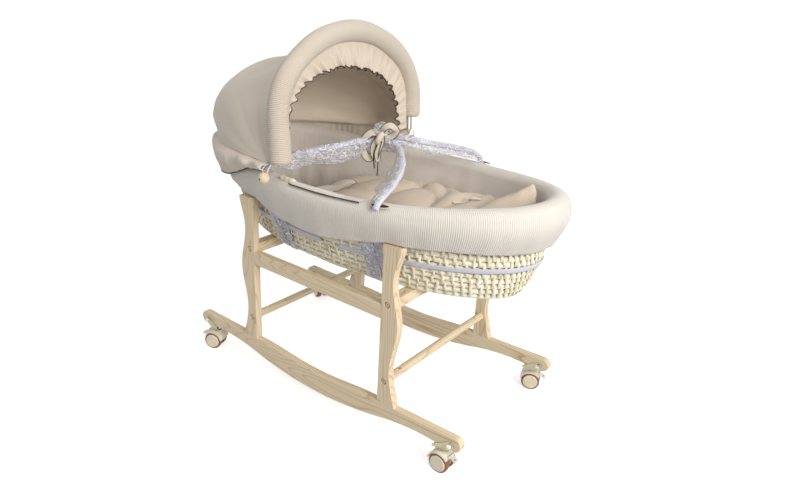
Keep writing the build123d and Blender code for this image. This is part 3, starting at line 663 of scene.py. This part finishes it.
# The handles come out through piped slits in the rim; a near-black lens in each slit paints the shade inside
# it.
for name, way, middle in (("front", -1, 199), ("back", 1, 165)):
    turns = np.linspace(0, TAU, 48, endpoint=False)
    slit_x = middle + 21 * np.cos(turns)
    opening = near_rim(slit_x, 12, 0)
    opening[:, 1] += 4.5 * np.sin(turns)
    opening[:, 2] += 0.6 + 3.0 * np.sin(turns)
    opening[:, 1] *= -way
    centre = opening.mean(axis=0) - (0, 0, 1.5)
    rings = [opening, centre + (opening - centre) * 0.5, centre + (opening - centre) * 0.02]
    finish_piece(grid(f"slit_{name}", rings, SLIT_SHADE, close_columns=True), "basket", "cotton_ivory")
    lip = tube(f"slit_{name}_piping", opening, 1.1, PLAIN_CREAM, 8, closed=True)
    finish_piece(lip, "basket", "cotton_ivory")

# -------------------------------------------------------------------- bedding
def puff(obj, voxel, pressure, cap, frames=20):
    """Remeshes a closed piece and swells it with a short cloth simulation."""
    remesh = obj.modifiers.new("remesh", "REMESH")
    remesh.mode = "VOXEL"
    remesh.voxel_size = voxel * MM
    apply_modifiers(obj)
    start = np.array([v.co for v in obj.data.vertices])
    softness = obj.modifiers.new("cloth", "CLOTH")
    settings = softness.settings
    settings.quality = 5
    settings.use_pressure = True
    settings.uniform_pressure_force = pressure
    settings.effector_weights.gravity = 0
    scene = bpy.context.scene
    scene.frame_start, scene.frame_end = 1, frames
    for number in range(1, frames + 1):
        scene.frame_set(number)
    evaluated = obj.evaluated_get(bpy.context.evaluated_depsgraph_get())
    moved = np.array([v.co for v in evaluated.data.vertices])
    obj.modifiers.remove(softness)
    scene.frame_set(1)
    step = moved - start
    size = np.linalg.norm(step, axis=1, keepdims=True) + 1e-9
    final = start + step / size * np.minimum(size, cap * MM)
    obj.data.vertices.foreach_set("co", final.ravel())
    obj.data.update()
    return obj


def apply_modifiers(obj):
    """Replaces the mesh with its evaluated one."""
    evaluated = obj.evaluated_get(bpy.context.evaluated_depsgraph_get())
    mesh = bpy.data.meshes.new_from_object(evaluated)
    obj.modifiers.clear()
    obj.data = mesh
    mesh.shade_smooth()


def closed_heap(name, inside, top, bottom, material, count=90):
    """A closed piece over an oval plan, between a top and a bottom height function."""
    radii = np.linspace(0, 1, count)
    turns = np.linspace(0, TAU, 3 * count, endpoint=False)
    layers = []
    for side in (bottom, top):
        order = radii if side is bottom else radii[::-1]
        for r in order:
            x, y = inside(r, turns)
            layers.append(np.stack([x, y, side(x, y, r)], axis=1))
    return grid(name, layers, material, close_columns=True)


MATTRESS = (374.5, 414.0)


def mattress_plan(r, turns):
    """Plan of the mattress."""
    return BASKET_X + 398 * r * np.cos(turns), 156 * r * np.sin(turns)


mattress = closed_heap(
    "mattress_pad", mattress_plan,
    lambda x, y, r: MATTRESS[1] - 10 * r**6 + 0 * x,
    lambda x, y, r: MATTRESS[0] + 6 * r**8 + 0 * x,
    RIB_IVORY, 24,
)
finish_piece(mattress, "basket", "cotton_ivory", "mattress")

COVER_HEAD = -212.0


def cover_plan(r, turns):
    """Plan of the coverlet: the basket's oval, cut off square at the head end."""
    x = BASKET_X + 418 * r * np.cos(turns)
    y = 182 * r * np.sin(turns)
    return np.maximum(x, COVER_HEAD + 14 * (1 - r)), y


# The coverlet's general height along the basket, its lumps as (x, y, width,
# height) and its creases as (x, y, heading, depth, reach).
COVER_X = (COVER_HEAD, -120, -40, 180, 330, 425)
COVER_Z = (450, 482, 492, 500, 532, 566)
COVER_LUMPS = (
    (-160, -60, 80, 14), (-130, 80, 80, 18), (-60, -20, 60, 12), (10, -100, 60, 20), (20, 60, 85, 26),
    (110, -20, 65, 18), (120, 115, 70, 26), (150, -115, 60, 20), (205, 40, 60, 30), (262, -60, 60, 26),
    (272, 100, 55, 30), (330, 10, 50, 30), (350, -90, 50, 18), (365, 80, 45, 26),
)
COVER_CREASES = (
    (55, 10, 1.15, 26, 90), (60, -60, -0.7, 20, 80), (-70, 30, 1.4, 16, 80), (160, 60, 1.9, 28, 90),
    (235, 20, 1.2, 28, 100), (300, 40, 1.75, 26, 90), (180, -60, 0.25, 24, 110), (-110, -20, -0.3, 14, 80),
    (120, 70, -0.2, 20, 80),
)


def cover_top(x, y, r):
    """Soft lumps between creases, rising towards the foot end."""
    base = np.interp(x, COVER_X, COVER_Z)
    lumps = sum(t * np.exp(-((x - cx) ** 2 + (y - cy) ** 2) / w**2) for cx, cy, w, t in COVER_LUMPS)
    creases = 0
    for px, py, heading, deep, reach in COVER_CREASES:
        across = (y - py) * cos(heading) - (x - px) * sin(heading)
        ahead = (x - px) * cos(heading) + (y - py) * sin(heading)
        bend = across - 0.0018 * ahead**2
        creases = creases + deep * np.exp(-np.abs(bend) / 11) * np.exp(-((ahead / reach) ** 2))
    tip = np.hypot(x - 384, y - 60)
    corner = 22 * np.exp(-((tip / 46) ** 2)) + 34 * np.exp(-tip / 15)
    return base - 20 * r**4 + lumps - creases + corner - 4


def cover_bottom(x, y, r):
    """The coverlet's underside, just above the mattress."""
    return 420 + 10 * r**4 + 0 * x


coverlet = closed_heap("coverlet_quilt", cover_plan, cover_top, cover_bottom, QUILT, 70)
puff(coverlet, voxel=5.0, pressure=2.5, cap=7.0)
subdivide(coverlet)
finish_piece(coverlet, "basket", "cotton_beige", "coverlet")

# A piped patch and a short white tie are sewn on the coverlet.
bpy.context.view_layer.update()
cover_tree = BVHTree.FromObject(coverlet, bpy.context.evaluated_depsgraph_get())


def on_cover(x, y, lift):
    """A point on the coverlet's upper surface, lifted off it."""
    hit = cover_tree.ray_cast(Vector((x * MM, y * MM, 0.75)), Vector((0, 0, -1)))[0]
    height = hit.z / MM if hit else 500.0
    return x, y, height + lift


PATCH_MIDDLE, PATCH_HALF = (-112.0, -34.0), (50.0, 56.0)
PATCH_TURN = radians(8)
turns = np.linspace(0, TAU, 72, endpoint=False)
square = np.stack([
    np.sign(np.cos(turns)) * np.abs(np.cos(turns)) ** 0.5 * PATCH_HALF[0],
    np.sign(np.sin(turns)) * np.abs(np.sin(turns)) ** 0.5 * PATCH_HALF[1],
], axis=1)
square = square @ np.array([[cos(PATCH_TURN), sin(PATCH_TURN)], [-sin(PATCH_TURN), cos(PATCH_TURN)]])
rings = []
for t in (1.0, 0.97, 0.85, 0.7, 0.5, 0.3, 0.12, 0.01):
    lift = 1.2 if t == 1.0 else 3.2
    rings.append([on_cover(PATCH_MIDDLE[0] + t * x, PATCH_MIDDLE[1] + t * y, lift) for x, y in square])
patch = grid("coverlet_patch", rings, PATCH_CLOTH, close_columns=True)
finish_piece(patch, "basket", "cotton_beige")
edge = tube("coverlet_patch_piping", np.array(rings[0]) + (0, 0, 1.4), 1.2, PIPING_SOFT, 8, closed=True)
finish_piece(edge, "basket", "cotton_beige")
for number, ends in enumerate((((222, 10), (236, 26), (250, 34)), ((250, 34), (262, 30), (276, 40)))):
    line = smooth_route([on_cover(x, y, 3.5 + 2.0 * (k == 1)) for k, (x, y) in enumerate(ends)], 3.0)
    tie = tube(f"coverlet_tie_{number}", line, 5.0, PATCH_CLOTH, 12, flat=0.35)
    finish_piece(tie, "basket", "cotton_ivory")


# ------------------------------------------------------------------- the hood
def arch_line(inset, near_start, far_stop, step=3.0):
    """(y, rise) points of the hood's arch in its own leaning plane."""
    half = ARCH_HALF - inset
    small = CORNER_R - inset
    large = CORNER_R + (ARCH_HALF - CORNER_R) / cos(radians(CORNER_TURN)) - inset
    place, heading = np.array([-half, float(near_start)]), pi / 2
    line = [place]
    runs = ((None, ARCH_LEG - near_start), (small, CORNER_TURN), (large, 180 - 2 * CORNER_TURN),
            (small, CORNER_TURN), (None, ARCH_LEG - far_stop))
    for radius, amount in runs:
        length = amount if radius is None else radius * radians(amount)
        count = max(2, int(abs(length) / step))
        for _ in range(count):
            turn = 0 if radius is None else radians(amount) / count
            heading -= turn / 2
            place = place + (length / count) * np.array([cos(heading), sin(heading)])
            heading -= turn / 2
            line.append(place)
    return np.array(line)


def in_hood(flat, proud=0.0):
    """Points of the hood's plane in the row frame; proud stands them off towards the foot end."""
    lean = radians(HOOD_LEAN)
    y, rise = np.asarray(flat)[..., 0], np.asarray(flat)[..., 1]
    x = HOOD_X - rise * sin(lean) + proud * cos(lean)
    z = HOOD_Z + rise * cos(lean) + proud * sin(lean)
    return np.stack([x, y, z], axis=-1)


FAR_FOOT = 46.0
route = in_hood(arch_line(0, -6, FAR_FOOT - 10))
run = lengths(route)
radius = ROLL_R * (0.97 + 0.02 * np.sin(run * 0.045) + 0.015 * np.sin(run * 0.013 + 1))
radius[run < 14] *= 1.03
taper = np.clip(np.minimum(run + 3, run[-1] - run + 3) / 9, 0, 1)
radius = radius * np.sqrt(1 - (1 - taper) ** 2 * 0.75)
roll = tube("hood_roll_padded", route, radius, RIB_ROLL, 32, up=(1, 0, 0))
finish_piece(roll, "hood", "cotton_beige", "hood_roll")
cuff = tube("hood_roll_cuff", route[3:5], [ROLL_R * 1.02] * 2, PLAIN_CREAM, 32, up=(1, 0, 0))
finish_piece(cuff, "hood", "cotton_beige")

FRILL_GATHERS = 21
FRILL_SCALLOPS = 31
outer = arch_line(ROLL_R - 3, 64, 6)
inward = arch_line(ROLL_R + 40, 64, 6)
share = np.linspace(0, 1, 600)


def resample(line, share):
    """Points at shares of a line's length."""
    run = lengths(line)
    return np.stack([np.interp(share * run[-1], run, line[:, k]) for k in range(line.shape[1])], axis=1)


outer, inward = resample(outer, share), resample(inward, share)
direction = inward - outer
direction /= np.linalg.norm(direction, axis=1)[:, None]
depth = np.interp(share, [0, 0.12, 0.3, 0.5, 0.8, 1], [3, 26, 52, 65, 56, 36])
scallop = np.sin(share * TAU * FRILL_SCALLOPS)
rows = []
for t in np.linspace(0, 1, 14):
    flat = outer + direction * (depth * t + 3.0 * scallop * t**3)[:, None]
    wave = np.sin(share * TAU * FRILL_GATHERS + 0.8 * np.sin(share * 19))
    proud = 4.5 * t * wave + 3.0 * t * np.cos(share * TAU * FRILL_SCALLOPS)
    rows.append(in_hood(flat, proud))
frill_points = np.array(rows)
frill = solidify(grid("hood_frill_gathered", frill_points, RIB_FRILL), 1.6, 0)
finish_piece(frill, "hood", "cotton_beige", "hood_frill")
edge = tube("hood_frill_piping", frill_points[-1][::2], 1.6, PIPING, 8)
finish_piece(edge, "hood", "cotton_beige")

# The canopy turns about the hood's foot: its ribs go from the roll's arch
# down to the oval of the rim, and then on down as a gathered skirt.
HINGE_X, HINGE_Z = -100.0, 606.0
SKIRT_HALF = (500.0, 265.0)
# Distance of the canopy's crown from the hinge line at each turn in degrees.
CROWN_TURNS = (94, 102, 116, 129, 138, 146, 153, 161, 168, 174, 180)
CROWN_REACH = (268, 236, 232, 252, 282, 315, 347, 384, 411, 421, 399)
# Height of the skirt's hem at each x.
HEM_X = (-500, -400, -300, -240, -185, -100)
HEM_Z = (500, 504, 528, 550, 574, 584)
share = np.linspace(0, 1, 300)
front_arch = resample(arch_line(4, 0, 0), share)
rim_y = np.linspace(-1, 1, 2001) * 259
rim_x = BASKET_X - SKIRT_HALF[0] * np.sqrt(1 - (rim_y / SKIRT_HALF[1]) ** 2)
rim_arch = resample(np.stack([rim_y, HINGE_X - rim_x], axis=1), share)
top_reach = front_arch[:, 1].max()
back_reach = rim_arch[:, 1].max()
rows = []
for step in np.linspace(0, 1, 56):
    turn = 94 + 86 * step
    reach = np.interp(turn, CROWN_TURNS, CROWN_REACH)
    weight = np.interp(turn, [94, 112, 180], [0, 0.35, 1])
    y = front_arch[:, 0] * (1 - weight) + rim_arch[:, 0] * weight
    shape = front_arch[:, 1] / top_reach * (1 - weight) + rim_arch[:, 1] / back_reach * weight
    middle = np.sin(pi * share)
    fold = 8.0 * np.abs(np.sin(step * 13 + 1.5 * np.sin(share * 9))) * np.exp(-((shape - 0.33) / 0.27) ** 2)
    fold *= min(1, 6 * step)
    sag = wander(np.stack([y, shape * reach, step * 300 + 0 * y], axis=1), 0.012, 10.0, 3.0) * middle
    r = reach * shape + fold + sag
    x = HINGE_X + r * cos(radians(turn)) + (HOOD_X - HINGE_X - 6) * (1 - weight)
    rows.append(np.stack([x, y, HINGE_Z + r * sin(radians(turn))], axis=1))
rim_line = rows[-1]
normal = np.stack([
    (rim_line[:, 0] - BASKET_X) / SKIRT_HALF[0] ** 2, rim_line[:, 1] / SKIRT_HALF[1] ** 2
], axis=1)
normal /= np.linalg.norm(normal, axis=1)[:, None]
hem_line = np.interp(rim_line[:, 0], HEM_X, HEM_Z)
for t in np.linspace(0, 1, 22)[1:]:
    line = rim_line.copy()
    line[:, 2] += (hem_line - rim_line[:, 2]) * t
    puffed = 17 * sin(pi * t**0.8) - 11 * sin(pi * min(t * 5, 1)) + 2
    deep_folds = 6.0 * sin(pi * t) * np.sin(share * 62 + 4 * np.sin(share * 13) + 1.2 * t)
    gathers = t * 2.2 * np.sin(share * TAU * 46 + 3 * np.sin(share * 31))
    line[:, :2] += normal * (puffed + gathers + deep_folds - 6 * t)[:, None]
    rows.append(line)
canopy_points = np.array(rows)
canopy = solidify(grid("hood_canopy_cloth", canopy_points, PLAIN_CREAM), 2.0, 0)
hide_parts("hood_canopy")
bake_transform(canopy)
SEAM_ROWS = (3, 20, 55)
for number, row in enumerate(SEAM_ROWS):
    seam = tube(f"hood_seam_{number}", canopy_points[row][3:-3], 1.9, PLAIN_CREAM, 8)
    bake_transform(seam)
hem_piping = tube("hood_skirt_piping", canopy_points[-1][2:-2], 2.2, PIPING, 8)
finish_piece(hem_piping, "basket", "cotton_beige")


# ------------------------------------------------------------ carrying handles
HANDLE_FRONT = (
    (-135, -238, 576), (-122, -212, 598), (-84, -165, 615), (-43, -112, 627), (0, -32, 638), (52, -13, 640),
    (95, -30, 628), (140, -85, 607), (180, -170, 594), (196, -226, 584), (197, -243, 566),
)
HANDLE_BACK = (
    (-135, 238, 576), (-118, 205, 600), (-70, 130, 622), (-20, 50, 640), (30, 22, 646), (64, 26, 645),
    (110, 70, 634), (126, 150, 614), (150, 215, 592), (160, 240, 566),
)
FILM_SHARES = (0.0, 0.12, 0.35, 0.52, 0.62, 0.80, 1.0)
FILM_FALL_FRONT = (
    (0, 0, -6), (0, 0, -34), (0, 0, -32), (0, 0, -16), (-12, -6, -12), (-42, -18, -20), (-14, -4, -8),
)
FILM_FALL_BACK = (
    (0, 0, -6), (0, 0, -14), (0, 0, -14), (0, 0, -10), (-6, -4, -14), (-6, -2, -16), (0, 0, -6),
)
for name, points, fall in (("front", HANDLE_FRONT, FILM_FALL_FRONT), ("back", HANDLE_BACK, FILM_FALL_BACK)):
    route = smooth_route(points)
    run = lengths(route)
    radius = 7.6 + 0.5 * np.sin(run * 0.11)
    grip = tube(f"handle_{name}_tape", route, radius, WEBBING, 16, flat=0.8)
    finish_piece(grip, f"handle_{name}", "webbing", f"handle_{name}")
    sleeve = route[8:-3]
    share = lengths(sleeve) / lengths(sleeve)[-1]
    hang = np.stack([np.interp(share, FILM_SHARES, column) for column in zip(*fall)], axis=1)
    turns = np.linspace(0, TAU, 36, endpoint=False)
    tangent = np.gradient(sleeve, axis=0)
    side = np.cross(tangent, (0, 0, 1.0))
    side /= np.linalg.norm(side, axis=1)[:, None]
    depth = (1 - np.cos(turns)) / 2
    breadth = 13.0 * np.sin(turns) * (1 - 0.65 * depth)
    wrap = (
        sleeve[:, None] + (0, 0, 9.5) + side[:, None] * breadth[None, :, None]
        + (hang - (0, 0, 17))[:, None] * depth[None, :, None]
    )
    ripple = wander(wrap, 0.03, 7.0) + wander(wrap, 0.10, 3.0, 5)
    wrap = wrap + side[:, None] * (ripple * (0.35 + depth))[:, :, None]
    wrap[:, :, 2] += wander(wrap, 0.02, 9.0, 11) * depth
    cover = grid(f"handle_{name}_film", np.swapaxes(wrap, 0, 1), FILM, close_rows=True)
    finish_piece(cover, f"handle_{name}", "webbing")


# ------------------------------------------------------------------- the bow
def ribbon(name, route, width, body, material=PLAIN_CREAM):
    """A flat ribbon with brown piping on both edges."""
    route = smooth_route(route, 3.0)
    along = np.gradient(route, axis=0)
    along /= np.linalg.norm(along, axis=1)[:, None]
    across = np.cross(along, (0.25, -0.9, 0.35))
    across /= np.linalg.norm(across, axis=1)[:, None]
    rows = [route + across * width / 2 * s for s in np.linspace(-1, 1, 7)]
    piece = solidify(grid(name, rows, material), 1.2, 0)
    finish_piece(piece, body, "ribbon")
    for side, row in (("a", rows[0]), ("b", rows[-1])):
        finish_piece(tube(f"{name}_piping_{side}", row, 1.0, PIPING, 8), body, "ribbon")
    return piece


KNOT = np.array([30.0, -20.0, 652.0])
loop_a = ribbon("bow_loop_low", KNOT + np.array([
    (0, 0, 2), (-18, -12, 8), (-36, -20, -10), (-36, -22, -40), (-20, -20, -54), (-8, -12, -34), (0, 0, -4)
]), 17, "handle_front")
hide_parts("handle_tie")
ribbon("bow_loop_high", KNOT + np.array([
    (0, 0, 2), (10, -8, 20), (26, -2, 30), (36, 8, 16), (20, 6, 0), (0, 0, -2)
]), 15, "handle_front")
ribbon("bow_tail", KNOT + np.array([
    (0, 0, 0), (8, -14, -16), (4, -20, -38), (10, -22, -56)
]), 14, "handle_front")
ribbon("bow_tail_short", KNOT + np.array([
    (0, 0, 0), (-10, -12, -14), (-12, -18, -34), (-4, -20, -50)
]), 12, "handle_front")
knot_turns = np.linspace(0, TAU, 26, endpoint=False)
knot_ring = KNOT + np.stack([
    6 * np.sin(knot_turns), 13 * np.cos(knot_turns), 14 * np.sin(knot_turns) - 6
], axis=1)
knot = tube("bow_knot", knot_ring, 6.5, PLAIN_CREAM, 12, closed=True, up=(1, 0, 0))
finish_piece(knot, "handle_front", "ribbon")
for number, drop in enumerate((-74, -90)):
    tail = smooth_route(KNOT + np.array([
        (4 + 6 * number, -12, -8), (-6 + 14 * number, -20, -40), (-2 + 10 * number, -22, drop)
    ]), 3.0)
    finish_piece(tube(f"bow_string_{number}", tail, 1.4, PIPING, 8), "handle_front", "ribbon")
rings = []
for t in np.linspace(0.06, 0.94, 14):
    size = 24 * sin(pi * t) ** 0.7
    circle = np.linspace(0, TAU, 30, endpoint=False)
    ring = np.stack([
        KNOT[0] - 10 + 34 * (t - 0.5) * 1.6 + 0 * circle, KNOT[1] + 10 + size * np.cos(circle),
        KNOT[2] + 12 + size * 0.75 * np.sin(circle),
    ], axis=1)
    rings.append(ring + wander(ring, 0.06, 8.0, 2)[:, None] * (0.2, 0.8, 0.8))
finish_piece(grid("bow_film", rings, FILM, close_columns=True), "handle_front", "webbing")

# ------------------------------------------------------- toggles and elastics
for name, way in (("front", -1), ("back", 1)):
    rings = []
    for turn in np.linspace(0.16, pi - 0.16, 16):
        circle = np.linspace(0, TAU, 28, endpoint=False)
        rings.append(np.stack([
            -96 + 13.2 * sin(turn) * np.cos(circle), np.full(28, way * (276 - 12.4 * cos(turn))),
            574 + 13.2 * sin(turn) * np.sin(circle),
        ], axis=1))
    bead = grid(f"toggle_bead_{name}", rings, BEAD, close_columns=True)
    finish_piece(bead, "basket", "wood_bead")
    if way < 0:
        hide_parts("toggle_beads")
    for number, spread in enumerate((-8, 7)):
        loop = smooth_route([
            (-96, way * 262, 574), (-96 + spread, way * 272, 588), (-92 + spread, way * 268, 600),
            (-88 + spread / 2, way * 262, 606),
        ], 2.0)
        cord = tube(f"elastic_{name}_{number}", loop, 1.4, ELASTIC, 8)
        finish_piece(cord, "basket", "elastic")
        if way < 0 and number == 0:
            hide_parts("elastic_cords")

# ------------------------------------------------- floor, light and the camera
def stage_piece(obj, name, albedo, glow):
    """A white floor or backdrop that gives the pieces no bounced light."""
    obj.name = name
    mat, _, _ = new_material(
        f"{name}_white", (albedo,) * 3, 0.9, Emission_Color=(1, 1, 1, 1), Emission_Strength=glow
    )
    obj.data.materials.append(mat)
    obj.visible_diffuse = False
    obj.visible_shadow = False
    obj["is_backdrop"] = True


bpy.ops.mesh.primitive_plane_add(size=100)
stage_piece(bpy.context.object, "floor", 0.9, 0.55)
bpy.ops.mesh.primitive_uv_sphere_add(radius=45, segments=48, ring_count=24)
stage_piece(bpy.context.object, "backdrop", 0.0, 1.0)


def area_light(name, place, target, size, power, colour=(1, 1, 1)):
    """A square soft light that faces a target."""
    data = bpy.data.lights.new(name, "AREA")
    data.size = size
    data.energy = power
    data.color = colour
    light = bpy.data.objects.new(name, data)
    light.location = place
    light.rotation_euler = (Vector(target) - Vector(place)).to_track_quat("-Z", "Y").to_euler()
    bpy.context.scene.collection.objects.link(light)
    return light


MIDDLE = (0.0, 0.0, 0.5)
area_light("key", (3.0, -0.9, 1.75), MIDDLE, 1.5, 92, (1.0, 0.98, 0.96))
area_light("fill", (-1.2, -2.8, 1.6), MIDDLE, 2.4, 6)
area_light("top", (0.6, -0.2, 3.2), MIDDLE, 2.2, 16)
world = bpy.data.worlds.new("studio")
world.use_nodes = True
world.node_tree.nodes["Background"].inputs["Color"].default_value = (1, 1, 1, 1)
world.node_tree.nodes["Background"].inputs["Strength"].default_value = 0.42
bpy.context.scene.world = world
bpy.context.scene.view_settings.view_transform = "Standard"

# The camera's azimuth and elevation are those of the line it looks along.
CAMERA_PLACE = Vector((0.9844, -1.2237, 1.0109))
AZIMUTH, ELEVATION, ROLL = radians(36.64), radians(22.94), radians(3.08)
back = Vector((sin(AZIMUTH) * cos(ELEVATION), -cos(AZIMUTH) * cos(ELEVATION), sin(ELEVATION)))
level = (-back).cross(Vector((0, 0, 1))).normalized()
upward = level.cross(-back)
right = level * cos(ROLL) + upward * sin(ROLL)
above = upward * cos(ROLL) - level * sin(ROLL)
camera_data = bpy.data.cameras.new("camera")
camera_data.sensor_width = 36
camera_data.lens = 30.03
camera_data.clip_end = 500
camera = bpy.data.objects.new("camera", camera_data)
camera.matrix_world = Matrix.Translation(CAMERA_PLACE) @ Matrix((right, above, back)).transposed().to_4x4()
bpy.context.scene.collection.objects.link(camera)
bpy.context.scene.camera = camera

bpy.context.view_layer.update()
low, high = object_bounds()
